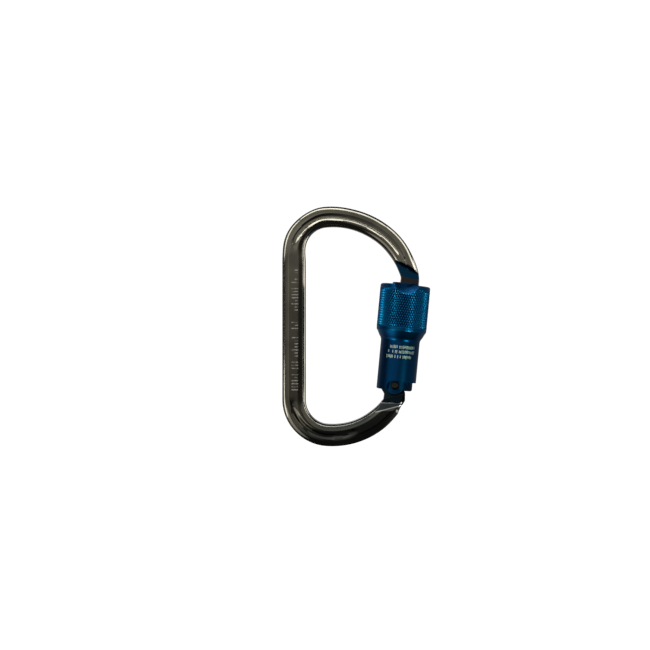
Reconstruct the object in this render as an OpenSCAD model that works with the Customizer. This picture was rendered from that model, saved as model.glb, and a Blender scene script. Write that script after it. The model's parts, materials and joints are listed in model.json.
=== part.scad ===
// Twist-lock carabiner: a forged D-shaped frame with a sprung, sleeve-locked gate.
// The frame lies in the XZ plane, thickness along Y, spine along Z.
// Origin: bearing point at the middle of the top basket.

/* [Frame] */
// Width of the rod seen from the front
rod_w = 10.8; // [10.6:0.1:11]
// Thickness of the rod, front to back
rod_t = 10.6; // [10:0.1:11.4]
// Corner radius of the rod section
rod_round = 4.2; // [3.6:0.1:4.6]
// Depth of the forged groove on the bends
groove_depth = 1.8; // [1.4:0.1:2]
// Thickness of the milled nose
nose_t = 5.0; // [4.6:0.1:5]
// Thickness of the milled tang that carries the gate
tang_t = 6.0; // [5.6:0.1:6]

/* [Gate] */
// Lean of the gate from the vertical, in degrees
gate_tilt = 5.4; // [5.2:0.1:5.6]
// Radius of the gate barrel
barrel_r = 8.1; // [8:0.05:8.15]
// Radius of the gate head that takes the nose
head_r = 6.3; // [6:0.05:6.4]
// Radius of the hinge rivet
rivet_r = 1.9; // [1.6:0.1:2]
// Running clearance of the hinge rivet in the tang
rivet_gap = 0.05; // [0.02:0.01:0.08]
// Radius of the plunger that closes the gate
plunger_r = 2.4; // [2.2:0.1:2.4]
// Wire diameter of the plunger's spring
gate_wire = 0.6; // [0.4:0.1:0.7]

/* [Lock sleeve] */
// Outer radius of the knurled collar
collar_r = 11.85; // [11.7:0.05:12]
// Outer radius of the smooth lower sleeve
skirt_r = 9.25; // [9.15:0.05:9.35]
// Running clearance between the sleeve and the gate barrel
sleeve_gap = 0.15; // [0.1:0.05:0.2]
// Depth of the smile-shaped scallop in the front of the rim
scallop_depth = 4.5; // [4:0.1:4.8]
// Width at the rim of the circle that the scallop follows
scallop_w = 15; // [14.4:0.1:15.4]
// Wire diameter of the sleeve's torsion spring
twist_wire = 1.1; // [0.9:0.1:1.2]

/* [Hidden] */
$fn = 96;

// Centre line of the frame: four arcs, tangent to each other and to the spine
spine_x = -19.43;
spine_top = -10.9;
spine_bottom = -81.5;
top_small_r = 16.15;
top_big_r = 37.2;
top_join = 96.9;
nose_end = 15;
foot_small_r = 16.7;
foot_big_r = 34.3;
foot_join = 265.3;
tang_end = 330;
top_small_c = [spine_x + top_small_r, spine_top];
top_big_c = top_small_c + (top_small_r - top_big_r) * [cos(top_join), sin(top_join)];
foot_small_c = [spine_x + foot_small_r, spine_bottom];
foot_big_c = foot_small_c + (foot_small_r - foot_big_r) * [cos(foot_join), sin(foot_join)];

// Gate frame: its z runs up the sleeve's axis, its zero is level with the rivet
gate_foot = [29.1, 0, -74.4];
pin_x = -0.95;
cam_throw = 2.3;
cam_phase = 13;
cam_r = 4.2;
eye_r = 3.6;
cam_c = [pin_x - cam_throw * cos(cam_phase), -cam_throw * sin(cam_phase)];
rim_z = 47.7;
foot_z = -2.3;
head_z = rim_z + 1;
shoulder_z = 40.5;
shoulder_foot_z = -82.4;
slot_floor = 43.5;
slot_wall = -2.8;
slot_gap = 0.1;
fork_gap = 0.05;
fork_top = 5.2;
ear_r = 4.2;
spring_bore_r = plunger_r + 0.05;
spring_bore_top = 30;
plunger_z = cam_c[1] + cam_r + 0.02;
plunger_h = 8;
catch_x = -1.85;
catch_z = 46.9;
catch_r = 0.9;
nose_tip = 44.4;
nose_in = -2.6;
nose_out = 6.2;
ledge_z = 28;
chamber_r = 9.9;
pad_r = 7;
scallop_taper = 0.45;
bore_r = barrel_r + sleeve_gap;
ring_z = 24.4;
ring_h = 1;
ring_in = 7.4;
ring_out = 9;
stop_z = 27.4;
stop_r = 0.8;
stop_in = 4.5;
stop_out = 9.35;
twist_travel = 90;
bush_z = 38.5;
bush_h = 1.9;
cut_far = 20;

// One point every few degrees along an arc, for turned outlines
function arc(c, r, a0, a1, n = 8) =
    [for (i = [0:n]) c + r * [cos(a0 + (a1 - a0) * i / n), sin(a0 + (a1 - a0) * i / n)]];

// Section of the rod, grown on every side if asked, with the forged groove where it has one
module rod_section(grow = 0, grooved = false) {
    groove_r = 2.4;
    half = [rod_w, rod_t] / 2 + grow * [1, 1];
    inset = half - rod_round * [1, 1];
    difference() {
        union() {
            square([2 * half[0], 2 * inset[1]], center = true);
            square([2 * inset[0], 2 * half[1]], center = true);
            for (sx = [-1, 1]) for (sy = [-1, 1])
                translate([sx * inset[0], sy * inset[1]]) circle(rod_round);
        }
        if (grooved) for (side = [-1, 1])
            translate([0, side * (half[1] + groove_r - groove_depth)]) circle(groove_r);
    }
}

// Revolves a section about a centre in the XZ plane; angles run from +X towards +Z
module bend(c, r, a0, a1) {
    translate([c[0], 0, c[1]]) rotate([90, 0, 0])
        rotate_extrude(angle = a1 - a0, start = a0) translate([r, 0]) children();
}

// A bend of rod, grooved from g0 to g1
module bend_rod(c, r, a0, a1, g0, g1) {
    if (a0 < g0) bend(c, r, a0, g0) rod_section();
    bend(c, r, g0, g1) rod_section(grooved = true);
    if (g1 < a1) bend(c, r, g1, a1) rod_section();
}

// Thin band, a hair proud of the rod, where two bends of different radius meet
module bend_joint(c, r, a) {
    translate([c[0] + r * cos(a), 0, c[1] + r * sin(a)]) rotate([0, -a, 0])
        linear_extrude(0.4, center = true) rod_section(grow = 0.02, grooved = true);
}

module on_gate() {
    translate(gate_foot) rotate([0, gate_tilt, 0]) children();
}

// Extrudes an outline drawn in the gate's x and z to a thickness along Y
module slab(t) {
    rotate([90, 0, 0]) linear_extrude(t, center = true) children();
}

module nose_plate() {
    hook = 1.45;
    throat = 3.55;
    on_gate() slab(nose_t)
        polygon([[nose_in, nose_tip], [nose_out - 1.5, nose_tip], [nose_out, nose_tip + 1.5],
            [nose_out, 54.6], [1, 56], [-4.2, 51.5], [nose_in, 49.6],
            [nose_in, nose_tip + throat], [-0.8, nose_tip + throat],
            [-0.8, nose_tip + hook], [nose_in, nose_tip + hook]]);
}

module tang_plate() {
    on_gate() slab(tang_t) {
        translate([pin_x, 0]) circle(eye_r);
        translate(cam_c) circle(cam_r);
        polygon([[-5.8, -8.8], [3.6, -9.4], [4.75, -7], [4.6, -3.5], [3.4, 0], [-3.2, 0], [-5, -4.2]]);
    }
}

// Blocks that mill the front and back of the rod down to the nose and the tang
module milling() {
    for (side = [-1, 1]) {
        on_gate() translate([0, side * (nose_t + cut_far) / 2, 0])
            slab(cut_far) polygon([[-8, 44], [12, 44], [12, 51], [-8, 58.4]]);
        translate([gate_foot[0], side * (tang_t + cut_far) / 2, shoulder_foot_z])
            slab(cut_far) polygon([[-8, 0], [8, 0], [8, 8], [-8, 8]]);
    }
}

module frame() color([0.30, 0.29, 0.26]) difference() {
    union() {
        difference() {
            union() {
                translate([spine_x, 0, spine_bottom])
                    linear_extrude(spine_top - spine_bottom) rod_section();
                bend_rod(top_small_c, top_small_r, top_join, 180, top_join, 170);
                bend_joint(top_small_c, top_small_r, top_join);
                bend_rod(top_big_c, top_big_r, nose_end, top_join, 32, top_join);
                bend_rod(foot_small_c, foot_small_r, 180, foot_join, 190, foot_join);
                bend_joint(foot_small_c, foot_small_r, foot_join);
                bend_rod(foot_big_c, foot_big_r, foot_join, tang_end, foot_join, 285);
            }
            milling();
        }
        nose_plate();
        tang_plate();
    }
    on_gate() translate([pin_x, 0, 0]) rotate([90, 0, 0])
        cylinder(r = rivet_r + rivet_gap, h = cut_far, center = true);
}

module ears() {
    intersection() {
        translate([0, 0, -8]) cylinder(r = barrel_r, h = 10);
        slab(2 * barrel_r) translate([pin_x, 0]) circle(ear_r);
    }
}

module gate_barrel() color([0.02, 0.13, 0.30]) on_gate() difference() {
    union() {
        translate([0, 0, foot_z]) cylinder(r = barrel_r, h = shoulder_z - foot_z);
        cylinder(r = head_r, h = head_z - 0.5);
        translate([0, 0, head_z - 0.5]) cylinder(r1 = head_r, r2 = head_r - 0.5, h = 0.5);
        ears();
    }
    // slot for the tang
    translate([-cut_far, -tang_t / 2 - fork_gap, -cut_far])
        cube([2 * cut_far, tang_t + 2 * fork_gap, cut_far + fork_top]);
    // slot for the nose, open to the outside
    translate([slot_wall, -nose_t / 2 - slot_gap, slot_floor])
        cube([cut_far, nose_t + 2 * slot_gap, cut_far]);
    translate([cam_c[0], 0, 0]) cylinder(r = spring_bore_r, h = spring_bore_top);
    translate([pin_x, 0, 0]) rotate([90, 0, 0]) cylinder(r = rivet_r, h = cut_far, center = true);
    translate([catch_x, 0, catch_z]) rotate([90, 0, 0]) cylinder(r = catch_r, h = cut_far, center = true);
    translate([0, stop_in, stop_z]) rotate([-90, 0, 0]) cylinder(r = stop_r, h = cut_far);
    translate([0, 0, ring_z]) difference() {
        cylinder(r = barrel_r + 1, h = ring_h);
        cylinder(r = ring_in, h = ring_h);
    }
}

module hinge_rivet() color([0.30, 0.20, 0.14]) on_gate() translate([pin_x, 0, 0])
    rotate([90, 0, 0]) cylinder(r = rivet_r, h = 14.9, center = true);

module nose_pin() color("silver") on_gate() translate([catch_x, 0, catch_z])
    rotate([90, 0, 0]) cylinder(r = catch_r, h = 11.4, center = true);

module gate_plunger() color("goldenrod") on_gate() translate([cam_c[0], 0, plunger_z]) {
    cylinder(r = plunger_r, h = plunger_h);
    translate([0, 0, plunger_h]) cylinder(r = 1.2, h = 4);
}

// Round wire wound up the z axis: closed rings of points joined into a tube
module coil(r, wire, length, turns, per_turn = 24, sides = 8) {
    n = round(turns * per_turn);
    function ring(i) = let (a = 360 * i / per_turn, z = length * i / n)
        [for (k = [0:sides - 1]) let (b = 360 * k / sides, q = r + wire / 2 * cos(b))
            [q * cos(a), q * sin(a), z + wire / 2 * sin(b)]];
    points = [for (i = [0:n]) each ring(i)];
    faces = [for (i = [0:n - 1]) for (k = [0:sides - 1]) let (m = (k + 1) % sides)
        [i * sides + k, (i + 1) * sides + k, (i + 1) * sides + m, i * sides + m]];
    caps = [[for (k = [0:sides - 1]) k], [for (k = [sides - 1:-1:0]) n * sides + k]];
    polyhedron(points, concat(faces, caps), convexity = 10);
}

module gate_spring() color("lightgray") on_gate()
    translate([cam_c[0], 0, plunger_z + plunger_h + gate_wire])
        coil(1.75, gate_wire, spring_bore_top - plunger_z - plunger_h - 2 * gate_wire, 12, 16, 6);

module sleeve_spring() color("lightgray") on_gate()
    translate([0, 0, ledge_z + 1]) coil(9, twist_wire, 8.8, 5.5, 30, 8);

// Ring that spans only part of a turn, from angle a0 to a1
module sector(r0, r1, z0, z1, a0, a1) {
    rotate([0, 0, a0]) rotate_extrude(angle = a1 - a0)
        translate([r0, z0]) square([r1 - r0, z1 - z0]);
}

module sleeve_blank() {
    edge = 1;
    flare_z = 25.6;
    rotate_extrude() polygon(concat(
        [[bore_r, foot_z], [skirt_r - 0.3, foot_z], [skirt_r, foot_z + 0.3], [skirt_r, 21.3]],
        arc([skirt_r + 3, 21.3], 3, 180, 138, 4),
        [[collar_r - 0.3, flare_z - 0.3], [collar_r, flare_z + 0.3]],
        arc([collar_r - edge, rim_z - edge], edge, 0, 90, 4),
        [[chamber_r, rim_z], [chamber_r, ledge_z], [bore_r, ledge_z]]));
}

module lock_sleeve() color([0.01, 0.16, 0.36]) on_gate() difference() {
    union() {
        sleeve_blank();
        // thicker wall behind the scallop
        sector(pad_r, chamber_r + 0.4, rim_z - 5.1, rim_z - 0.1, -142, -38);
    }
    // dished scallop in the front of the rim
    scallop_r = (pow(scallop_w / 2, 2) + pow(scallop_depth, 2)) / (2 * scallop_depth);
    translate([0, 0, rim_z - scallop_depth + scallop_r]) rotate([90, 0, 2])
        cylinder(r1 = scallop_r - scallop_taper * collar_r, r2 = scallop_r + scallop_taper * 2, h = collar_r + 2);
    // notch that lets the nose out when the sleeve is turned
    sector(chamber_r - 0.6, collar_r + 1, rim_z - 5.4, rim_z + 1, -6, 76);
    // arch over the rivet, and the higher edge to the right of it
    translate([0.1, 0, foot_z - 0.25]) rotate([90, 0, 0]) cylinder(r = 4.85, h = cut_far);
    sector(barrel_r - 0.6, collar_r, foot_z - 1, foot_z + 4, -58, 60);
    // groove of the retaining ring, and slot of the stop pin
    sector(barrel_r - 1, 9.2, ring_z - 0.1, ring_z + ring_h + 0.1, 0, 360);
    sector(barrel_r - 1, 9.5, stop_z - stop_r - 0.1, ledge_z + 0.5, 84, 96 + twist_travel);
}

module retaining_ring() color("silver") on_gate()
    sector(ring_in, ring_out, ring_z, ring_z + ring_h, 200, 530);

module stop_pin() color("silver") on_gate() translate([0, stop_in, stop_z])
    rotate([-90, 0, 0]) cylinder(r = stop_r, h = stop_out - stop_in);

module upper_bush() color("dimgray") on_gate() translate([0, 0, bush_z]) difference() {
    cylinder(r = chamber_r - 0.1, h = bush_h);
    translate([0, 0, -1]) cylinder(r = barrel_r, h = bush_h + 2);
}

frame();
gate_barrel();
hinge_rivet();
nose_pin();
gate_plunger();
gate_spring();
lock_sleeve();
sleeve_spring();
retaining_ring();
stop_pin();
upper_bush();
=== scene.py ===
import bpy
import bmesh
import json
import math
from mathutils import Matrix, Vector


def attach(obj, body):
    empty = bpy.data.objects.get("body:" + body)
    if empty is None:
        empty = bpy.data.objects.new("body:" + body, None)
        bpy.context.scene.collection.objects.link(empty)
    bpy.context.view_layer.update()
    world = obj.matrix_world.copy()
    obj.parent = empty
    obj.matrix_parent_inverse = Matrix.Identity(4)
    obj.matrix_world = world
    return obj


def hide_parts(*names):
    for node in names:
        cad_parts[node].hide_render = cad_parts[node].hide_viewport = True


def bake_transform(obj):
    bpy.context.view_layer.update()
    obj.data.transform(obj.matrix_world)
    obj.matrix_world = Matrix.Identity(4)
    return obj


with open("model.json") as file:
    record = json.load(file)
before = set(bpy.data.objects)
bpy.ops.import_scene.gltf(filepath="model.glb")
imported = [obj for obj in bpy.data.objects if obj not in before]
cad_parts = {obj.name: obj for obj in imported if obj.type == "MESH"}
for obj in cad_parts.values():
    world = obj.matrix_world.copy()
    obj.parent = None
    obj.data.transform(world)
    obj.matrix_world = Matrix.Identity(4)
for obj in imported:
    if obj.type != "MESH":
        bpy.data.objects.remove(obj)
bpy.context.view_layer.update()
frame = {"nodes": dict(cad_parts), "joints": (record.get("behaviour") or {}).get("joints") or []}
mm = 0.001

# The gate's own axes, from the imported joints: across towards +X, up along the sleeve, zero at the hinge
joints = {joint["name"]: joint for joint in frame["joints"]}
gateFoot = Vector(joints["sleeve_twist"]["pos_m"])
gateUp = -Vector(joints["sleeve_twist"]["axis"])
gateSide = Vector((0, 1, 0)).cross(gateUp)
hingePin = Vector(joints["gate_hinge"]["pos_m"])
pinX = (hingePin - gateFoot).dot(gateSide) / mm


def onGate(x, y, z):
    return gateFoot + (gateSide * x + gateUp * z) * mm + Vector((0, y * mm, 0))


class Wire:
    # one socket's value; Python's own operators on it add Math nodes
    def __init__(self, sheet, socket):
        self.sheet = sheet
        self.socket = socket

    def maths(self, kind, a, b=0.0):
        return self.sheet.add("ShaderNodeMath", {"operation": kind}, {0: a, 1: b})

    def __add__(self, other):
        return self.maths("ADD", self, other)

    def __radd__(self, other):
        return self.maths("ADD", other, self)

    def __sub__(self, other):
        return self.maths("SUBTRACT", self, other)

    def __rsub__(self, other):
        return self.maths("SUBTRACT", other, self)

    def __mul__(self, other):
        return self.maths("MULTIPLY", self, other)

    def __rmul__(self, other):
        return self.maths("MULTIPLY", other, self)

    def __truediv__(self, other):
        return self.maths("DIVIDE", self, other)

    def __pow__(self, other):
        return self.maths("POWER", self, other)

    def __mod__(self, other):
        return self.maths("FLOORED_MODULO", self, other)

    def __gt__(self, other):
        return self.maths("GREATER_THAN", self, other)

    def __lt__(self, other):
        return self.maths("LESS_THAN", self, other)

    def __abs__(self):
        return self.maths("ABSOLUTE", self)

    def floor(self):
        return self.maths("FLOOR", self)

    def ramp(self, low, high, start=0.0, stop=1.0):
        return self.sheet.add("ShaderNodeMapRange", {"interpolation_type": "SMOOTHSTEP", "clamp": True},
                              {"Value": self, "From Min": low, "From Max": high,
                               "To Min": start, "To Max": stop})


class Sheet:
    # the node tree of one material or of the world
    def __init__(self, name, world=None):
        self.material = world or bpy.data.materials.new(name)
        self.material.use_nodes = True
        self.tree = self.material.node_tree
        self.shader = self.tree.nodes["Background" if world else "Principled BSDF"]

    def plug(self, socket, value):
        if isinstance(value, Wire):
            self.tree.links.new(value.socket, socket)
        elif isinstance(value, (tuple, list, Vector)):
            socket.default_value = tuple(value) + (1.0,) * (len(socket.default_value) - len(value))
        else:
            socket.default_value = value

    def add(self, kind, settings=None, inputs=None, out=0):
        node = self.tree.nodes.new(kind)
        for key, value in (settings or {}).items():
            setattr(node, key, value)
        for key, value in (inputs or {}).items():
            self.plug(node.inputs[key], value)
        return Wire(self, node.outputs[out])

    def mix(self, factor, a, b):
        # sockets 6, 7 and output 2 are the Mix node's colours
        settings = {"data_type": "RGBA", "clamp_factor": True}
        return self.add("ShaderNodeMix", settings, {0: factor, 6: a, 7: b}, 2)

    def noise(self, where, scale, detail=3.0, rough=0.5):
        return self.add("ShaderNodeTexNoise", {}, {"Vector": where, "Scale": scale, "Detail": detail,
                                                   "Roughness": rough})

    def chance(self, number):
        return self.add("ShaderNodeTexWhiteNoise", {"noise_dimensions": "1D"}, {"W": number})

    def place(self):
        return self.add("ShaderNodeTexCoord", out="Object")

    def along(self, where, axis, start=(0, 0, 0)):
        moved = self.add("ShaderNodeVectorMath", {"operation": "SUBTRACT"}, {0: where, 1: tuple(start)})
        inputs = {0: moved, 1: tuple(axis)}
        return self.add("ShaderNodeVectorMath", {"operation": "DOT_PRODUCT"}, inputs, "Value")

    def stretch(self, where, factors):
        return self.add("ShaderNodeVectorMath", {"operation": "MULTIPLY"}, {0: where, 1: factors})

    def bump(self, height, strength, distance):
        return self.add("ShaderNodeBump", {}, {"Height": height, "Strength": strength, "Distance": distance})

    def finish(self, **inputs):
        for key, value in inputs.items():
            self.plug(self.shader.inputs[key.replace("_", " ")], value)
        return self.material


# the neck colours paint a reflection on the milled nose; tang paints a dark reflection on the milled tang
# and shade on the foot bend and the facet; edge is a painted highlight
metal = dict(olive=(0.235, 0.222, 0.178), oliveDark=(0.165, 0.158, 0.128), rough=0.10,
             neck=(0.008, 0.07, 0.15), neckFootBrown=(0.075, 0.06, 0.055),
             tang=(0.022, 0.045, 0.062), edge=(0.8, 0.8, 0.78), stroke=(0.80, 0.78, 0.70))
# skirt, valley and the two gate colours are painted shade, and the bright tip colour is a painted highlight
# on the knurl; light, dark and mark are the anodising's own
blue = dict(light=(0.004, 0.125, 0.33), dark=(0.003, 0.085, 0.29), skirt=(0.002, 0.06, 0.20),
            valley=(0.003, 0.085, 0.23), wearAndGlint=(0.05, 0.42, 0.62), mark=(0.80, 0.84, 0.82),
            gate=(0.004, 0.055, 0.16), gateInShade=(0.003, 0.03, 0.09), rough=0.27)


def gateHeights(s, where):
    # across and up on the gate's axes, in mm
    return s.along(where, gateSide / mm, gateFoot), s.along(where, gateUp / mm, gateFoot)


def facingFront(s, where):
    return s.along(where, (0, -1 / mm, 0)) > 3.0


def forgedMetal():
    s = Sheet("polishedForging")
    where = s.place()
    cloud = s.noise(where, 95.0, 2.0)
    grain = s.noise(s.stretch(where, (1700.0, 1700.0, 300.0)), 1.0, 4.0, 0.6)
    speck = s.noise(where, 2600.0, 3.0, 0.6)
    mark = stamped(s, where)
    colour = s.mix(cloud.ramp(0.35, 0.7), metal["olive"], metal["oliveDark"])
    colour = s.mix(speck.ramp(0.55, 0.8) * 0.35, colour, metal["oliveDark"])
    colour = s.mix(mark, colour, metal["stroke"])

    across, up = gateHeights(s, where)
    worldX = s.along(where, (1 / mm, 0, 0))
    worldZ = s.along(where, (0, 0, 1 / mm))
    # painted reflections where the metal is milled, blue from the sleeve on the nose and dark blue on the
    # tang, and painted shade low on the foot bend
    milledNoseWithPaintedReflection = (up + across * nose["lean"]).ramp(nose["shoulder"] - 0.4, nose["shoulder"] + 0.4, 1.0, 0.0)
    milledNoseWithPaintedReflection = milledNoseWithPaintedReflection * up.ramp(30.0, 31.0) * (worldX > 15.0)
    milledTangWithPaintedReflection = worldZ.ramp(tang["shoulderZ"] - 0.3, tang["shoulderZ"] + 0.1)
    milledTangWithPaintedReflection = milledTangWithPaintedReflection * (worldX > 10.0) * up.ramp(20.0, 21.0, 1.0, 0.0)
    # painted shade: darker in patches towards the lower right of the foot bend
    paintedShadeLowFoot = (worldX * 0.35 - worldZ).ramp(86.0, 98.0) * cloud.ramp(0.1, 0.5, 0.7, 1.0)
    colour = s.mix(paintedShadeLowFoot * 0.55, colour, metal["tang"])
    # the painted reflection on the nose turns browner towards the foot of the neck, next to the collar
    neckFoot = (up + across * 0.1 + cloud * 3.0).ramp(52.4, 53.4, 1.0, 0.0) * speck.ramp(0.2, 0.5, 0.4, 1.0)
    colour = s.mix(milledNoseWithPaintedReflection, colour, s.mix(neckFoot, metal["neck"], metal["neckFootBrown"]))
    # painted dark blue reflection on the milled tang
    colour = s.mix(milledTangWithPaintedReflection, colour, metal["tang"])

    # painted shade on the facet under the tang's shoulder, with painted highlights along its two edges
    lineUp = worldZ - tang["shoulderZ"] + (worldX - tang["shoulderX"]) * tang["shoulderLean"] + 0.35
    facetUp = worldZ - tang["facetZ"] - (worldX - tang["facetX"]) * tang["facetSlope"]
    onFacet = worldX > 19.0
    belowShoulder = worldZ.ramp(tang["shoulderZ"] - 0.6, tang["shoulderZ"] - 0.2, 1.0, 0.0)
    paintedFacetShade = (facetUp > 0.0) * onFacet * belowShoulder * (up < 8.0)
    colour = s.mix(paintedFacetShade * 0.7, colour, metal["tang"])
    # painted highlights along the shoulder line and the facet's edge, fading out towards the tang's end
    edge = abs(lineUp).ramp(0.15, 0.34, 1.0, 0.0) * (worldX > 21.5)
    edge = edge + abs(facetUp).ramp(0.12, 0.3, 1.0, 0.0) * onFacet
    colour = s.mix(edge * worldX.ramp(32.0, 33.6, 0.9, 0.0), colour, metal["edge"])

    rough = metal["rough"] + cloud * 0.05 + speck * 0.05 + mark * 0.2 + (milledNoseWithPaintedReflection + milledTangWithPaintedReflection) * 0.08
    height = grain * 0.3 + speck * 0.3 - mark * 14.0
    return s.finish(Base_Color=colour, Metallic=1.0, Roughness=rough,
                    Normal=s.bump(height, 0.12, 0.00001))


# plain struck strokes down the spine, in mm; each group has a top and a bottom
stamp = dict(middle=-19.0, half=1.55, pitch=1.45, stroke=0.36,
             shortMiddle=0.7, shortHalf=0.75, longShare=0.65,
             groups=((-18.8, -21.2), (-23.6, -26.9), (-27.9, -39.7), (-43.5, -48.3),
                     (-51.1, -61.6), (-63.0, -66.8), (-69.2, -77.3)))


def stamped(s, where):
    x = s.along(where, (1 / mm, 0, 0)) - stamp["middle"]
    z = s.along(where, (0, 0, 1 / mm))
    row = (z + 200.0) / stamp["pitch"]  # counted from well below the frame, so every row number is positive
    chance = s.chance(row.floor())
    inked = (row % 1.0) < stamp["stroke"]
    long = inked * (abs(x) < stamp["half"]) * (chance > 1.0 - stamp["longShare"])
    short = inked * (abs(x - stamp["shortMiddle"]) < stamp["shortHalf"])
    short = short * (chance < 1.0 - stamp["longShare"])
    struck = None
    for top, bottom in stamp["groups"]:
        group = (z < top) * (z > bottom)
        struck = group if struck is None else struck + group
    wearAndGlint = s.noise(where, 650.0, 2.0).ramp(0.32, 0.62, 0.15, 1.0)
    return (long + short).ramp(0.0, 1.0) * struck * wearAndGlint * facingFront(s, where)


# three rows of small pale ticks, in mm on the gate's axes
laser = dict(rows=(18.2, 15.9, 13.6), height=0.78, left=(-5.0, -5.6, -6.3), right=6.6, pitch=0.62,
             width=0.62, gaps=0.13)


def laserTicks(s, where):
    across, up = gateHeights(s, where)
    place = across / laser["pitch"] + 40.0  # counted from well left of the rows
    ticks = None
    for number, (row, left) in enumerate(zip(laser["rows"], laser["left"])):
        chance = s.chance(place.floor() + number * 31.0)
        drop = (chance - 0.5) * 0.5
        tick = ((place % 1.0) < laser["width"]) * (chance > laser["gaps"])
        tick = tick * (abs(up - row - drop * 0.6) < laser["height"] - abs(drop))
        tick = tick * (across > left) * (across < laser["right"])
        ticks = tick if ticks is None else ticks + tick
    fade = s.noise(where, 900.0, 2.0).ramp(0.3, 0.6, 0.45, 0.95)
    return ticks * facingFront(s, where) * fade


def knurlRidge(s, where):
    # the same diamonds as the mesh: 0 in the valleys and off the collar, 1 on the tips
    across, up = gateHeights(s, where)
    back = s.along(where, (0, 1 / mm, 0))
    around = back.maths("ARCTAN2", back, across) / (2 * math.pi) * sleeve["diamonds"]
    rise = (up - sleeve["knurlLow"]) / knurlPeriod()
    first = (rise + around) % 1.0
    second = (rise - around) % 1.0
    ridge = first.maths("MINIMUM", 1.0 - abs(2.0 * first - 1.0), 1.0 - abs(2.0 * second - 1.0))
    radius = (across * across + back * back) ** 0.5
    onCollar = radius > sleeve["collar"] - 0.45
    return ridge * (up > sleeve["knurlLow"]) * (up < sleeve["knurlHigh"]) * onCollar


def turningLines(s, where):
    # fine rings left by the lathe, which change only along the gate
    height = s.add("ShaderNodeCombineXYZ", {}, {"X": s.along(where, gateUp, gateFoot)})
    return s.noise(s.stretch(height, (9000.0, 0.0, 0.0)), 1.0, 2.0)


def blueMetal(name, light, dark, marked=False):
    s = Sheet(name)
    where = s.place()
    cloud = s.noise(where, 120.0, 2.0)
    speck = s.noise(where, 9000.0, 2.0, 0.6)
    colour = s.mix(cloud.ramp(0.3, 0.7), light, dark)
    colour = s.mix(speck.ramp(0.5, 0.9) * 0.4, colour, dark)
    rough = blue["rough"] + cloud * 0.06 + speck * 0.06
    if marked:
        up = gateHeights(s, where)[1]
        # painted shade: the skirt below the collar's flare is darker
        colour = s.mix(up.ramp(22.0, 25.5, 1.0, 0.0), colour, s.mix(cloud, blue["skirt"], blue["gate"]))
        ridge = knurlRidge(s, where)
        # painted shade in the knurl's valleys
        colour = s.mix(ridge.ramp(0.02, 0.40, 1.0, 0.0) * (ridge > 0.001), colour, blue["valley"])
        # painted highlight on the knurl's diamond tips
        colour = s.mix(ridge.ramp(0.5, 0.9) * 0.7, colour, blue["wearAndGlint"])
        mark = laserTicks(s, where)
        colour = s.mix(mark, colour, blue["mark"])
        rough = rough + mark * 0.25
    return s.finish(Base_Color=colour, Metallic=1.0, Roughness=rough,
                    Normal=s.bump(speck * 0.5 + turningLines(s, where) * 0.35, 0.2, 0.00001))


def plainMetal(name, colour, rough):
    s = Sheet(name)
    where = s.place()
    speck = s.noise(where, 1800.0, 3.0)
    cloud = s.noise(where, 400.0, 2.0)
    tint = s.mix(cloud, colour, tuple(0.7 * part for part in colour))
    return s.finish(Base_Color=tint, Metallic=1.0, Roughness=rough + speck * 0.12,
                    Normal=s.bump(speck, 0.3, 0.00001))


def mouldedPlastic(name, colour):
    s = Sheet(name)
    speck = s.noise(s.place(), 1500.0, 3.0)
    tint = s.mix(speck, colour, tuple(1.4 * part for part in colour))
    return s.finish(Base_Color=tint, Metallic=0.0, Roughness=0.45 + speck * 0.1,
                    Normal=s.bump(speck, 0.3, 0.00002))


# The rod, in mm. Each bend is its arc's centre X, centre Z and radius; angles run from +X towards +Z
bends = dict(topBig=(-0.751, -31.797, 37.2), topSmall=(-3.28, -10.9, 16.15),
             footSmall=(-2.73, -81.5, 16.7), footBig=(-1.28, -63.96, 34.3),
             noseJoin=22.0, noseFineEnd=40.0, topJoin=96.9,
             footJoin=265.3, tangFineStart=306.0, tangJoin=322.0)
rod = dict(halfThick=5.3, faceSteps=30, cornerSteps=12, sideSteps=4, spacing=0.45, fineSpacing=0.2)
# Distances in from the rod's outer side: the groove runs between lip and crest, and closes to a V at tip
groove = dict(drop=1.65, bandShare=0.68, crest=6.9, foot=5.4, tip=4.4, lip=3.7, tipRise=0.5, tipFall=0.1,
              lipWidth=0.5)
nose = dict(tip=44.4, top=49.5, middle=1.8, half=2.5, steep=2.2, shoulder=55.6, lean=0.42)
tang = dict(half=3.0, steep=4.0, lip=0.55, chamfer=0.45, middle=-0.2, end=-3.0,
            shoulderX=28.0, shoulderZ=-82.4, shoulderLean=0.02,
            facetX=19.7, facetZ=-86.9, facetSlope=0.252, facetSquare=0.97, bevel=math.radians(24))
milled = dict(reach=0.3, least=0.4, soft=0.12)


def arcPoints(centreX, centreZ, radius, start, stop, spacing):
    count = max(2, round(abs(math.radians(stop - start)) * radius / spacing))
    turn = [math.radians(start + (stop - start) * i / count) for i in range(count + 1)]
    return [Vector((centreX + radius * math.cos(a), centreZ + radius * math.sin(a))) for a in turn]


def curvePoints(start, startWay, end, endWay, spacing):
    reach = (end - start).length / 3
    handles = start, start + startWay * reach, end - endWay * reach, end
    count = max(2, round((end - start).length / spacing))
    points = []
    for i in range(count + 1):
        t = i / count
        weights = (1 - t) ** 3, 3 * t * (1 - t) ** 2, 3 * t * t * (1 - t), t ** 3
        points.append(sum((w * h for w, h in zip(weights, handles)), Vector((0, 0))))
    return points


def flat(point):
    return Vector((point.x / mm, point.z / mm))


def arcEnd(bend, degrees):
    # a point of the arc, and the way the arc runs there
    x, z, radius = bend
    a = math.radians(degrees)
    return Vector((x + radius * math.cos(a), z + radius * math.sin(a))), Vector((-math.sin(a), math.cos(a)))


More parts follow.
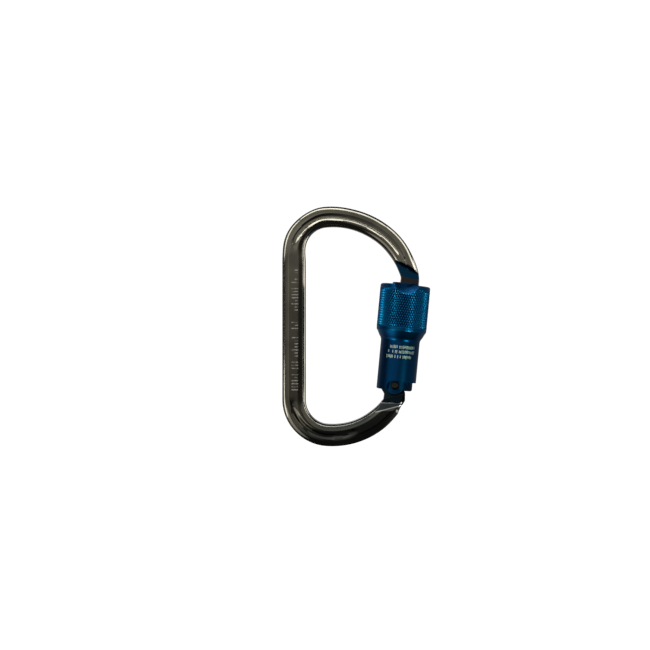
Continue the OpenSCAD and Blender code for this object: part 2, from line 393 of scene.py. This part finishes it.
def rodPath():
    # the rod's middle line from the nose's tip over the top, down the spine and round to the tang
    up, down = Vector((gateUp.x, gateUp.z)), Vector((0, -1))
    big, small = bends["topBig"], bends["topSmall"]
    footSmall, footBig = bends["footSmall"], bends["footBig"]
    fine, coarse = rod["fineSpacing"], rod["spacing"]
    noseTip = flat(onGate(nose["middle"], 0, nose["tip"]))
    noseTop = flat(onGate(nose["middle"], 0, nose["top"]))
    tangEnd = flat(onGate(tang["middle"], 0, tang["end"]))
    topStart, topWay = arcEnd(big, bends["noseJoin"])
    footEnd, footWay = arcEnd(footBig, bends["tangJoin"])
    spineHigh = Vector((small[0] - small[2], small[1]))
    spineLow = Vector((footSmall[0] - footSmall[2], footSmall[1]))
    stretches = [
        curvePoints(noseTip, up, noseTop, up, fine),
        curvePoints(noseTop, up, topStart, topWay, fine),
        arcPoints(*big, bends["noseJoin"], bends["noseFineEnd"], fine),
        arcPoints(*big, bends["noseFineEnd"], bends["topJoin"], coarse),
        arcPoints(*small, bends["topJoin"], 180.0, coarse),
        curvePoints(spineHigh, down, spineLow, down, 1.0),
        arcPoints(*footSmall, 180.0, bends["footJoin"], coarse),
        arcPoints(*footBig, bends["footJoin"], bends["tangFineStart"], coarse),
        arcPoints(*footBig, bends["tangFineStart"], bends["tangJoin"], fine),
        curvePoints(footEnd, footWay, tangEnd, up, fine)]
    points, marks = [], [0.0]
    for stretch in stretches:
        points += stretch[(1 if points else 0):]
        marks.append(sum((b - a).length for a, b in zip(points, points[1:])))
    return points, marks


def blendStops(stops, s):
    for (a, low), (b, high) in zip(stops, stops[1:]):
        if s <= b:
            t = max(0.0, min(1.0, (s - a) / (b - a)))
            return low + (high - low) * t * t * (3 - 2 * t)
    return stops[-1][1]


def softMin(a, b, soft):
    t = max(0.0, min(1.0, 0.5 + 0.5 * (b - a) / soft))
    return b * (1 - t) + a * t - soft * t * (1 - t)


def milledLimit(x, z):
    # half the thickness that milling leaves at a place on the nose or the tang
    up, side = Vector((gateUp.x, gateUp.z)), Vector((gateSide.x, gateSide.z))
    local = Vector((x, z)) - flat(gateFoot)
    across, height = local.dot(side), local.dot(up)
    if height > 40 and x > 15:
        above = height - (nose["shoulder"] - nose["lean"] * across)
        return nose["half"] + nose["steep"] * max(0.0, above)
    if height < 0 and x > 8:
        over = tang["shoulderZ"] - tang["shoulderLean"] * (x - tang["shoulderX"]) - z
        flank = tang["half"] + max(0.0, min(tang["steep"] * over, tang["lip"] + tang["chamfer"] * over))
        lower = (x - tang["facetX"]) * tang["facetSlope"] - (z - tang["facetZ"])
        return min(flank, rod["halfThick"] + math.tan(tang["bevel"]) * lower * tang["facetSquare"])
    return math.inf


def bent(x):
    # 0 to 1 in a straight ramp whose two ends are rounded
    soft = 0.2
    x = max(-soft, min(1 + soft, x))
    if x < soft:
        return (x + soft) ** 2 / (4 * soft)
    if x > 1 - soft:
        return 1 - (1 + soft - x) ** 2 / (4 * soft)
    return x


def recess(fromOuter, depth, level):
    # the outer band sits a little below the inner ridge, with a groove between them
    g = groove
    crest = g["tip"] + g["tipRise"] + (g["crest"] - g["tip"] - g["tipRise"]) * depth
    foot = g["tip"] - g["tipFall"] + (g["foot"] - g["tip"] + g["tipFall"]) * depth
    start = g["tip"] - (g["tip"] - g["lip"]) * depth
    flank = bent((crest - fromOuter) / (crest - foot))
    cutIn = bent((fromOuter - start) / g["lipWidth"]) * flank * (1 - g["bandShare"]) * min(1.0, depth * 2)
    wide = bent((g["crest"] - fromOuter) / (g["crest"] - g["foot"])) * g["bandShare"] * level
    return g["drop"] * (cutIn + wide)


def ringPoints(outer, inner, depth, level, outerCorner, innerCorner):
    # one section of the rod: u is out from the middle line, v is along Y
    half = rod["halfThick"]
    outerCorner = min(outerCorner, outer, half)
    innerCorner = min(innerCorner, inner, half)
    faceOut, faceIn = outer - outerCorner, innerCorner - inner
    sideOut, sideIn = half - outerCorner, half - innerCorner
    face = [faceOut + (faceIn - faceOut) * i / rod["faceSteps"] for i in range(rod["faceSteps"] + 1)]
    side = [2 * i / rod["sideSteps"] - 1 for i in range(rod["sideSteps"] + 1)]

    def quarter(u, v, number, radius):
        turns = [(number + i / rod["cornerSteps"]) * math.pi / 2 for i in range(1, rod["cornerSteps"])]
        return [(u + radius * math.cos(a), v + radius * math.sin(a)) for a in turns]

    points = [(outer, sideOut * t) for t in side] + quarter(faceOut, sideOut, 0, outerCorner)
    points += [(u, half) for u in face] + quarter(faceIn, sideIn, 1, innerCorner)
    points += [(-inner, -sideIn * t) for t in side] + quarter(faceIn, -sideIn, 2, innerCorner)
    points += [(u, -half) for u in reversed(face)] + quarter(faceOut, -sideOut, 3, outerCorner)
    if level < 0.001 and depth < 0.001:
        return points
    return [(u, v * (1 - recess(outer - u, depth, level) / half)) for u, v in points]


def meshObject(name, verts, faces, smooth=True):
    mesh = bpy.data.meshes.new(name)
    mesh.from_pydata([Vector(v) for v in verts], [], faces)
    mesh.validate()
    build = bmesh.new()
    build.from_mesh(mesh)
    bmesh.ops.recalc_face_normals(build, faces=build.faces)
    for f in build.faces:
        f.smooth = smooth
    build.to_mesh(mesh)
    build.free()
    thing = bpy.data.objects.new(name, mesh)
    bpy.context.scene.collection.objects.link(thing)
    return thing


def sharpen(thing, degrees):
    build = bmesh.new()
    build.from_mesh(thing.data)
    limit = math.radians(degrees)
    for e in build.edges:
        e.smooth = len(e.link_faces) == 2 and e.calc_face_angle(0) < limit
    build.to_mesh(thing.data)
    build.free()


def rodStops(marks):
    # (distance along the rod, value) pairs, with smooth steps between them
    noseTop, neckTop, fineTop, topJoin, spineTop, spineEnd, footJoin, footFine, tangStart, length = marks[1:]
    return dict(
        outer=[(0, 4.4), (noseTop, 4.4), (neckTop, 4.75), (fineTop, 5.1), (topJoin - 14, 4.75),
               (topJoin, 5.1), (topJoin + 8, 4.75), (spineTop - 3, 5.35), (spineTop + 5, 5.6),
               (spineEnd, 5.6), (footJoin - 8, 5.3), (footFine, 5.3), (tangStart, 5.1),
               (length - 7, 4.6), (length, 4.4)],
        # the notch in the nose's inner side is the hook for the gate's pin
        inner=[(0, 4.4), (1.35, 4.4), (1.55, 2.6), (3.5, 2.6), (3.75, 4.4), (noseTop, 4.4),
               (neckTop - 4, 4.1), (neckTop, 4.15), (fineTop, 4.5), (topJoin - 20, 4.8), (topJoin, 4.8),
               (spineTop, 5.35), (spineTop + 6, 5.6), (spineEnd + 8, 5.6), (footJoin, 5.3),
               (footFine, 5.0), (tangStart, 4.7), (length - 6, 4.5), (length, 4.4)],
        depth=[(0, 0.0), (neckTop + 0.5, 0.0), (neckTop + 5.5, 1.0), (spineTop - 7.0, 1.0),
               (spineTop - 0.5, 0.0), (spineEnd + 0.5, 0.0), (spineEnd + 7.5, 1.0), (footJoin + 2, 1.0),
               (footJoin + 14, 0.0), (length, 0.0)],
        level=[(0, 0.0), (neckTop, 0.0), (neckTop + 9, 1.0), (spineTop - 11, 1.0), (spineTop + 1, 0.0),
               (spineEnd - 1, 0.0), (spineEnd + 11, 1.0), (footJoin + 2, 1.0), (footJoin + 16, 0.0),
               (length, 0.0)],
        outerCorner=[(0, 3.9), (neckTop, 4.4), (topJoin, 4.6), (spineTop - 6, 4.2), (spineTop + 3, 3.2),
                     (spineEnd - 3, 3.2), (spineEnd + 6, 4.2), (footJoin, 4.4), (tangStart, 3.9),
                     (length, 3.9)],
        innerCorner=[(0, 3.9), (spineEnd - 6, 3.9), (spineEnd + 10, 3.1), (tangStart, 2.8), (length, 3.0)])


def buildRod():
    points, marks = rodPath()
    stops = rodStops(marks)
    verts, rings, s = [], [], 0.0
    for i, point in enumerate(points):
        before, after = points[max(0, i - 1)], points[min(len(points) - 1, i + 1)]
        way = (after - before).normalized()
        out = Vector((way.y, -way.x))
        if i:
            s += (point - points[i - 1]).length
        start = len(verts)
        for u, v in ringPoints(**{name: blendStops(pairs, s) for name, pairs in stops.items()}):
            x, z = point.x + out.x * u, point.y + out.y * u
            limit = milledLimit(x, z)
            if limit < abs(v) + milled["reach"]:
                v = math.copysign(softMin(abs(v), max(limit, milled["least"]), milled["soft"]), v)
            verts.append((x * mm, v * mm, z * mm))
        rings.append(range(start, len(verts)))
    faces = []
    for a, b in zip(rings, rings[1:]):
        n = len(a)
        faces += [(a[k], a[(k + 1) % n], b[(k + 1) % n], b[k]) for k in range(n)]
    faces += [tuple(reversed(rings[0])), tuple(rings[-1])]
    thing = meshObject("forgedRod", verts, faces)
    sharpen(thing, 38)
    return thing


def applyAll(thing):
    bpy.context.view_layer.update()
    solid = bpy.data.meshes.new_from_object(thing.evaluated_get(bpy.context.evaluated_depsgraph_get()))
    thing.modifiers.clear()
    thing.data = solid


def roundEdges(thing, width, degrees=35):
    bevel = thing.modifiers.new("softEdges", "BEVEL")
    bevel.width = width * mm
    bevel.segments = 2
    bevel.limit_method = "ANGLE"
    bevel.angle_limit = math.radians(degrees)
    applyAll(thing)


def cut(thing, tools, kind="DIFFERENCE"):
    for tool in tools:
        step = thing.modifiers.new("cut", "BOOLEAN")
        step.operation = kind
        step.solver = "EXACT"
        step.object = tool
        applyAll(thing)
        bpy.data.objects.remove(tool)


def extrude(name, outline, low, high):
    # an outline on the gate's axes, drawn out along Y
    n = len(outline)
    verts = [onGate(x, y, z) for y in (low, high) for x, z in outline]
    faces = [tuple(range(n)), tuple(range(2 * n - 1, n - 1, -1))]
    faces += [(i, (i + 1) % n, n + (i + 1) % n, n + i) for i in range(n)]
    return meshObject(name, verts, faces)


def turned(name, outline, steps, place=onGate, closed=True, wave=None, split=None):
    # outline is (radius, height) pairs; wave may change a point's radius round the turn,
    # and split says which diagonal cuts a quad into two triangles
    verts, faces, n = [], [], len(outline)
    for j in range(steps):
        a = 2 * math.pi * j / steps
        for i, (r, z) in enumerate(outline):
            if wave:
                r = wave(i, j, r)
            verts.append(place(r * math.cos(a), r * math.sin(a), z))
    for j in range(steps):
        here, there = j * n, ((j + 1) % steps) * n
        for i in range(n if closed else n - 1):
            k = (i + 1) % n
            p, q, r, t = here + i, there + i, there + k, here + k
            choice = split(i, j) if split else None
            if choice is None:
                faces.append((p, q, r, t))
            elif choice:
                faces += [(p, q, t), (q, r, t)]
            else:
                faces += [(p, q, r), (p, r, t)]
    if not closed:
        faces += [tuple(j * n for j in range(steps)), tuple(j * n + n - 1 for j in reversed(range(steps)))]
    return meshObject(name, verts, faces)


def drill(x, z, radius, low, high, steps, radiusHigh=None):
    # a round or tapered cutter along Y, from y = low to y = high
    def place(a, b, c):
        return onGate(x + a, c, z + b)

    return turned("cutter", [(radius, low), (radiusHigh or radius, high)], steps, place, closed=False)


def wedge(low, high, radii, angles, steps):
    # part of a ring round the gate's axis
    inner, outer = radii
    verts, faces = [], []
    for i in range(steps + 1):
        a = math.radians(angles[0] + (angles[1] - angles[0]) * i / steps)
        for r, z in ((inner, low), (outer, low), (outer, high), (inner, high)):
            verts.append(onGate(r * math.cos(a), r * math.sin(a), z))
    for i in range(steps):
        a, b = 4 * i, 4 * (i + 1)
        faces += [(a + k, a + (k + 1) % 4, b + (k + 1) % 4, b + k) for k in range(4)]
    faces += [(3, 2, 1, 0), tuple(4 * steps + k for k in range(4))]
    return meshObject("cutter", verts, faces)


def arcRow(cx, cz, radius, start, stop, count):
    turns = [math.radians(start + (stop - start) * i / count) for i in range(count + 1)]
    return [(cx + radius * math.cos(a), cz + radius * math.sin(a)) for a in turns]


# the cam's centre lies this far back from and down from the hinge pin
cam = dict(back=2.241, down=0.517, radius=4.2, eye=3.6, bore=1.95, clear=0.01)


def buildTang():
    outline = [(3.6, -9.3), (4.75, -7.0), (4.6, -5.0), (4.45, -3.2)]
    outline += arcRow(pinX, 0, cam["eye"], 0, 75, 8)
    outline += arcRow(pinX - cam["back"], -cam["down"], cam["radius"], 80, 205, 14)
    outline += [(-5.3, -4.6), (-5.4, -8.0)]
    half = tang["half"] - cam["clear"]
    plate = extrude("tangEye", outline, -half, half)
    roundEdges(plate, 0.25)
    cut(plate, [drill(pinX, 0, cam["bore"], -9, 9, 48)])
    sharpen(plate, 35)
    return plate


def joined(name, parts):
    build = bmesh.new()
    for part in parts:
        build.from_mesh(part.data)
    mesh = bpy.data.meshes.new(name)
    build.to_mesh(mesh)
    build.free()
    for part in parts:
        bpy.data.objects.remove(part)
    thing = bpy.data.objects.new(name, mesh)
    bpy.context.scene.collection.objects.link(thing)
    return thing


# The sleeve, in mm on the gate's axes; grid is the mesh steps across and up each knurl diamond
sleeve = dict(foot=-2.3, skirt=9.25, skirtTop=20.3, bore=8.25, collar=11.85, chamber=9.9,
              ledge=28.0, rim=47.7, edge=1.0, flareFoot=20.6, flareRadius=3.4, flare=25.6,
              knurlLow=27.3, knurlHigh=45.6, diamonds=62, slant=27.5, grid=6,
              relief=0.34, lift=0.05, sharpness=1.5)
scallop = dict(across=0.41, depth=4.5, radius=8.5, taper=0.65, chamfer=0.28,
               padRadius=7.0, padFoot=42.6, padAngles=(-142.0, -38.0))
passage = dict(radii=(9.3, 12.8), depth=5.4, angles=(-6, 76))  # lets the nose out as the sleeve turns
heel = dict(radii=(7.6, 11.8), height=4, angles=(-58, 60))  # the higher edge to the right of the arch
arch = dict(across=0.1, half=4.85, top=2.3, corner=3.0)  # shows the rivet at the front


def halfDiamonds():
    width = 2 * math.pi * sleeve["collar"] / sleeve["diamonds"]
    wanted = width / math.tan(math.radians(sleeve["slant"]))
    return round((sleeve["knurlHigh"] - sleeve["knurlLow"]) / (wanted / 2))


def knurlPeriod():
    return 2 * (sleeve["knurlHigh"] - sleeve["knurlLow"]) / halfDiamonds()


def sleeveOutline():
    d = sleeve
    rows = [(d["skirt"] - 0.35, d["foot"]), (d["skirt"], d["foot"] + 0.35), (d["skirt"], 8.0),
            (d["skirt"], d["skirtTop"])]
    rows += arcRow(d["skirt"] + d["flareRadius"], d["flareFoot"], d["flareRadius"], 180, 137, 10)
    rows += [(d["collar"] - 0.45, d["flare"] - 0.25), (d["collar"] - 0.12, d["flare"] + 0.15),
             (d["collar"], d["flare"] + 0.7)]
    steps = halfDiamonds() * d["grid"] // 2
    knurlRows = [len(rows), len(rows) + 2 + steps]
    rows.append((d["collar"], d["knurlLow"] - 0.3))
    for i in range(steps + 1):
        rows.append((d["collar"], d["knurlLow"] + (d["knurlHigh"] - d["knurlLow"]) * i / steps))
    rows.append((d["collar"], d["knurlHigh"] + 0.3))
    rows += arcRow(d["collar"] - d["edge"], d["rim"] - d["edge"], d["edge"], 0, 90, 6)
    rows += [(d["chamber"] + 0.25, d["rim"]), (d["chamber"], d["rim"] - 0.25), (d["chamber"], d["ledge"]),
             (d["bore"], d["ledge"]), (d["bore"], d["foot"] + 0.2), (d["bore"] + 0.2, d["foot"])]
    return rows, knurlRows, steps


def archOutline():
    reach, high = arch["half"] - arch["corner"], arch["top"] - arch["corner"]
    outline = arcRow(arch["across"] + reach, high, arch["corner"], 0, 90, 10)
    outline += arcRow(arch["across"] - reach, high, arch["corner"], 90, 180, 10)
    return outline + [(arch["across"] - arch["half"], -8), (arch["across"] + arch["half"], -8)]


def scallopCutters():
    # one cone for the finger scallop and a wider one for the chamfer round its rim
    d = scallop
    centreZ = sleeve["rim"] - d["depth"] + d["radius"]
    front, back = sleeve["collar"] + 1.0, d["padRadius"] - 2.0
    bowl = drill(d["across"], centreZ, d["radius"] + d["taper"], -front, -back, 120,
                 d["radius"] - d["taper"] * (sleeve["collar"] - back))
    lip = drill(d["across"], centreZ, d["radius"] + d["chamfer"] + 1.0, -front, -front + 3.0, 120,
                d["radius"] + d["chamfer"] - 2.0)
    return [bowl, lip]


def buildSleeve():
    rows, (first, last), knurlSteps = sleeveOutline()
    grid = sleeve["grid"]

    def knurl(i, j, r):
        if not first < i < last:
            return r
        row = i - first - 1
        up, around = (row % grid) / grid, (j % grid) / grid
        a, b = (up + around) % 1.0, (up - around) % 1.0
        ridge = min(1 - abs(2 * a - 1), 1 - abs(2 * b - 1))
        fade = min(1.0, min(row, knurlSteps - row) / 2.0)
        return r + sleeve["lift"] - sleeve["relief"] * (1 - min(1.0, ridge * sleeve["sharpness"])) * fade

    def alongRidge(i, j):
        return (i - first + j) % 2 == 0 if first < i < last - 1 else None

    shell = turned("lockSleeve", rows, sleeve["diamonds"] * grid, wave=knurl, split=alongRidge)
    rim, foot = sleeve["rim"], sleeve["foot"]
    padRadii = (scallop["padRadius"], sleeve["chamber"] + 0.8)
    cut(shell, [wedge(scallop["padFoot"], rim - 0.02, padRadii, scallop["padAngles"], 60)], "UNION")
    cut(shell, scallopCutters())
    cut(shell, [wedge(rim - passage["depth"], rim + 1, passage["radii"], passage["angles"], 24),
                extrude("cutter", archOutline(), -12, 0),
                wedge(foot - 1, foot + heel["height"], heel["radii"], heel["angles"], 24)])
    sharpen(shell, 24)
    return shell


# The gate and its rivet, in mm on the gate's axes; turned outlines start at axisGap, just off the axis
gate = dict(barrel=8.1, head=6.3, foot=-2.3, shoulder=40.5, top=48.7, forkHalf=3.05, forkTop=5.2,
            slotFloor=43.5, slotWall=-2.8, slotHalf=2.6, ear=4.2, axisGap=0.3,
            springBore=2.45, springBoreTop=30, catchX=-1.85, catchZ=46.9, catchRadius=0.9)
rivetPin = dict(radius=1.9, end=7.4)


def box(name, x0, x1, y0, y1, z0, z1):
    verts = [onGate(x, y, z) for z in (z0, z1) for y in (y0, y1) for x in (x0, x1)]
    faces = [(0, 1, 3, 2), (4, 6, 7, 5), (0, 4, 5, 1), (2, 3, 7, 6), (0, 2, 6, 4), (1, 5, 7, 3)]
    return meshObject(name, verts, faces, smooth=False)


def gateEars():
    # the rounded ends of the fork, kept within the barrel's own cylinder
    d, low, high = gate, -8, 6
    radius = d["barrel"] - 0.02
    ears = drill(pinX, 0, d["ear"], -d["barrel"] + 0.25, d["barrel"] - 0.25, 72)
    outline = [(d["axisGap"], low), (radius, low), (radius, high), (d["axisGap"], high)]
    around = turned("cutter", outline, 120, closed=False)
    cut(ears, [around], "INTERSECT")
    return ears


def buildGate():
    d = gate
    rows = [(d["axisGap"], d["foot"]), (d["barrel"] - 0.5, d["foot"]), (d["barrel"], d["foot"] + 0.5),
            (d["barrel"], d["shoulder"] - 0.4), (d["barrel"] - 0.4, d["shoulder"]),
            (d["head"], d["shoulder"])]
    rows += arcRow(d["head"] - 0.6, d["top"] - 0.6, 0.6, 0, 90, 5) + [(d["axisGap"], d["top"])]
    body = turned("gateBarrel", rows, 120, closed=False)
    cut(body, [gateEars()], "UNION")

    def onBore(a, b, c):
        return onGate(pinX - cam["back"] + a, b, c)

    bore = [(d["springBore"], 0), (d["springBore"], d["springBoreTop"])]
    cut(body, [box("cutter", -20, 20, -d["forkHalf"], d["forkHalf"], -20, d["forkTop"]),
               box("cutter", d["slotWall"], 20, -d["slotHalf"], d["slotHalf"], d["slotFloor"], 60),
               turned("cutter", bore, 48, onBore, closed=False),
               drill(pinX, 0, rivetPin["radius"], -12, 12, 48),
               drill(d["catchX"], d["catchZ"], d["catchRadius"], -12, 12, 32)])
    roundEdges(body, 0.22, 40)
    sharpen(body, 32)
    return body


def buildRivet():
    end, radius = rivetPin["end"], rivetPin["radius"]
    head = [(0.3, end - 0.1), (1.0, end), (radius - 0.3, end - 0.15), (radius, end - 0.5)]
    rows = [(r, -y) for r, y in head] + head[::-1]

    def onPin(a, b, c):
        return onGate(pinX + a, c, b)

    rivet = turned("hingeRivet", rows, 48, onPin, closed=False)
    sharpen(rivet, 50)
    return rivet


# The plunger's spring shortens as the plunger slides up; here it is built once at one length
spring = dict(low=12.303, high=29.4, radius=1.75, wire=0.6, turns=12, perTurn=24, sides=8)


def buildSpring():
    d, verts, faces = spring, [], []
    count, sides, across = d["turns"] * d["perTurn"], d["sides"], pinX - cam["back"]
    for i in range(count + 1):
        a = 2 * math.pi * i / d["perTurn"]
        z = d["low"] + (d["high"] - d["low"]) * i / count
        for k in range(sides):
            b = 2 * math.pi * k / sides
            r = d["radius"] + d["wire"] / 2 * math.cos(b)
            verts.append(onGate(across + r * math.cos(a), r * math.sin(a), z + d["wire"] / 2 * math.sin(b)))
    for i in range(count):
        here, there = i * sides, (i + 1) * sides
        for k in range(sides):
            m = (k + 1) % sides
            faces.append((here + k, there + k, there + m, here + m))
    faces += [tuple(range(sides)), tuple(count * sides + k for k in reversed(range(sides)))]
    return meshObject("gateSpring", verts, faces)


def finished(thing, finish):
    thing.data.materials.clear()
    thing.data.materials.append(finish)
    return thing


print("building the frame")
forging = finished(joined("forgedFrame", [buildRod(), buildTang()]), forgedMetal())
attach(forging, "body")
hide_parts("frame")

print("building the sleeve")
collar = finished(buildSleeve(), blueMetal("anodisedSleeve", blue["light"], blue["dark"], marked=True))
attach(collar, "sleeve")
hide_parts("lock_sleeve")

print("building the gate")
# the gate's darker blues are painted shade
barrel = finished(buildGate(), blueMetal("anodisedGate", blue["gate"], blue["gateInShade"]))
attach(barrel, "gate")
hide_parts("gate_barrel")
rivet = finished(buildRivet(), plainMetal("brownedRivet", (0.055, 0.042, 0.036), 0.35))
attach(rivet, "gate")
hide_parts("hinge_rivet")
coil = finished(buildSpring(), plainMetal("springWire", (0.7, 0.7, 0.7), 0.2))
onGate(pinX - cam["back"], 0, spring["low"])
onGate(pinX - cam["back"], 0, spring["high"])
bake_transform(coil)
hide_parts("gate_spring")

print("finishing the small pieces")
# these keep their CAD shapes
small = dict(nose_pin=plainMetal("bluedPin", (0.01, 0.07, 0.17), 0.3),
             stop_pin=plainMetal("stopSteel", (0.6, 0.6, 0.6), 0.25),
             gate_plunger=plainMetal("turnedBrass", (0.72, 0.5, 0.2), 0.28),
             sleeve_spring=plainMetal("twistWire", (0.7, 0.7, 0.7), 0.2),
             retaining_ring=plainMetal("ringSteel", (0.55, 0.55, 0.55), 0.3),
             upper_bush=mouldedPlastic("acetalBush", (0.03, 0.03, 0.035)))
for node, finish in small.items():
    finished(frame["nodes"][node], finish)

print("setting the studio")
studio = dict(distance=0.73, lens=85.0, centre=(-0.00475, -0.0459), floor=-0.24, floorHalf=3,
              aim=(0.005, 0, -0.047))
bluePieces = [collar, barrel, rivet, frame["nodes"]["nose_pin"]]
greenish = (0.6, 1.0, 0.7)
# places and sizes in metres; a lamp with pieces lights only those
lamps = dict(
    overhead=dict(place=(0.0, -0.03, 0.45), size=(0.7, 0.17), watts=1.85, pieces=[forging]),
    upperRight=dict(place=(0.43, -0.03, 0.23), size=(0.18, 0.40), watts=1.0, pieces=[forging]),
    upperLeft=dict(place=(-0.42, -0.03, 0.20), size=(0.15, 0.40), watts=0.75, pieces=[forging]),
    lowerLeft=dict(place=(-0.46, -0.03, -0.20), size=(0.16, 0.25), watts=0.5, pieces=[forging]),
    rightGrey=dict(place=(0.60, 0.15, -0.05), size=(0.5, 0.6), watts=2.5, pieces=[forging]),
    overheadSoft=dict(place=(0.0, -0.03, 0.45), size=(0.7, 0.20), watts=0.9, pieces=bluePieces),
    lowLeftSpot=dict(place=(-0.19, -0.21, -0.195), size=(0.03, 0.03), watts=0.2, pieces=bluePieces,
                     tint=greenish),
    lowRightSpot=dict(place=(0.195, -0.255, -0.195), size=(0.03, 0.03), watts=0.25, pieces=bluePieces,
                      tint=greenish),
    frontStrip=dict(place=(0.03, -0.49, 0.29), size=(0.8, 0.08), watts=0.05, pieces=bluePieces),
    backFill=dict(place=(0.1, 0.75, 0.25), size=(0.6, 0.4), watts=0.5))


def addLamp(name, place, size, watts, pieces=(), tint=(1, 1, 1)):
    light = bpy.data.lights.new(name, "AREA")
    light.shape = "RECTANGLE"
    light.size, light.size_y = size
    light.energy = watts
    light.color = tint
    thing = bpy.data.objects.new(name, light)
    thing.location = place
    thing.rotation_euler = (Vector(studio["aim"]) - Vector(place)).to_track_quat("-Z", "Y").to_euler()
    thing.visible_camera = False
    bpy.context.scene.collection.objects.link(thing)
    if pieces:
        chosen = bpy.data.collections.new(name + "Receivers")
        for piece in pieces:
            chosen.objects.link(piece)
        thing.light_linking.receiver_collection = chosen


for name, values in lamps.items():
    addLamp(name, **values)


def paleFloor():
    s = Sheet("paleFloor")
    soft = s.noise(s.place(), 6.0, 2.0)
    tone = s.mix(soft, (0.93, 0.93, 0.93), (0.96, 0.96, 0.96))
    return s.finish(Base_Color=tone, Roughness=0.9, Emission_Color=tone, Emission_Strength=1.0)


def addFloor():
    half = studio["floorHalf"]
    corners = [(-half, -half), (half, -half), (half, half), (-half, half)]
    floor = meshObject("floor", [(x, y, studio["floor"]) for x, y in corners], [(0, 1, 2, 3)], smooth=False)
    floor.data.materials.append(paleFloor())
    floor.visible_glossy = False


# how bright each part of the surroundings is in reflections, and behind the object as the camera sees it
sky = dict(base=0.035, frontUp=0.32, wallLow=0.13, wallHigh=0.3, leftSide=0.20, rightSide=0.14, behind=0.45,
           lowLeft=0.8, seen=1.05)


def studioWorld():
    world = bpy.data.worlds.new("studioWorld")
    s = Sheet("studioWorld", world)
    way = s.add("ShaderNodeTexCoord", out="Generated")
    x, y, z = (s.along(way, axis) for axis in ((1, 0, 0), (0, 1, 0), (0, 0, 1)))
    left, near = x * -1.0, y * -1.0
    front = near.ramp(0.90, 0.985)
    # the front wall is dark below a slanting edge, so faces turned down to the right go black
    wall = (z - x * 0.35).ramp(-0.064, -0.050, 0.0, sky["wallLow"])
    wall = wall + z.ramp(0.02, 0.06, 0.0, sky["wallHigh"])
    leftSide = left.ramp(0.02, 0.12) * left.ramp(0.85, 0.95, 1.0, 0.0) * abs(z).ramp(0.4, 0.7, 1.0, 0.0)
    rightSide = x.ramp(0.22, 0.40) * y.ramp(-0.5, -0.3) * abs(z).ramp(0.55, 0.75, 1.0, 0.0)
    behind = y.ramp(0.95, 0.985)
    lowLeft = s.along(way, (-0.72, -0.25, -0.65)).ramp(0.925, 0.97)
    base = sky["base"] + z.ramp(0.03, 0.2) * near.ramp(0.2, 0.4) * sky["frontUp"]
    glow = base * (1.0 - front) + front * wall + leftSide * sky["leftSide"] + rightSide * sky["rightSide"]
    glow = glow + behind * sky["behind"] + lowLeft * sky["lowLeft"]
    seen = s.add("ShaderNodeLightPath", out="Is Camera Ray")
    s.plug(s.shader.inputs["Color"], s.mix(seen, (1.0, 0.98, 0.93), (1.0, 1.0, 1.0)))
    s.plug(s.shader.inputs["Strength"], glow * (1.0 - seen) + seen * sky["seen"])
    return world


def addCamera():
    camera = bpy.data.objects.new("camera", bpy.data.cameras.new("camera"))
    camera.data.lens = studio["lens"]
    camera.data.clip_start = 0.05
    camera.location = (studio["centre"][0], -studio["distance"], studio["centre"][1])
    camera.rotation_euler = (math.radians(90), 0, 0)
    bpy.context.scene.collection.objects.link(camera)
    bpy.context.scene.camera = camera


addFloor()
addCamera()
bpy.context.scene.world = studioWorld()
bpy.context.scene.view_settings.view_transform = "Standard"
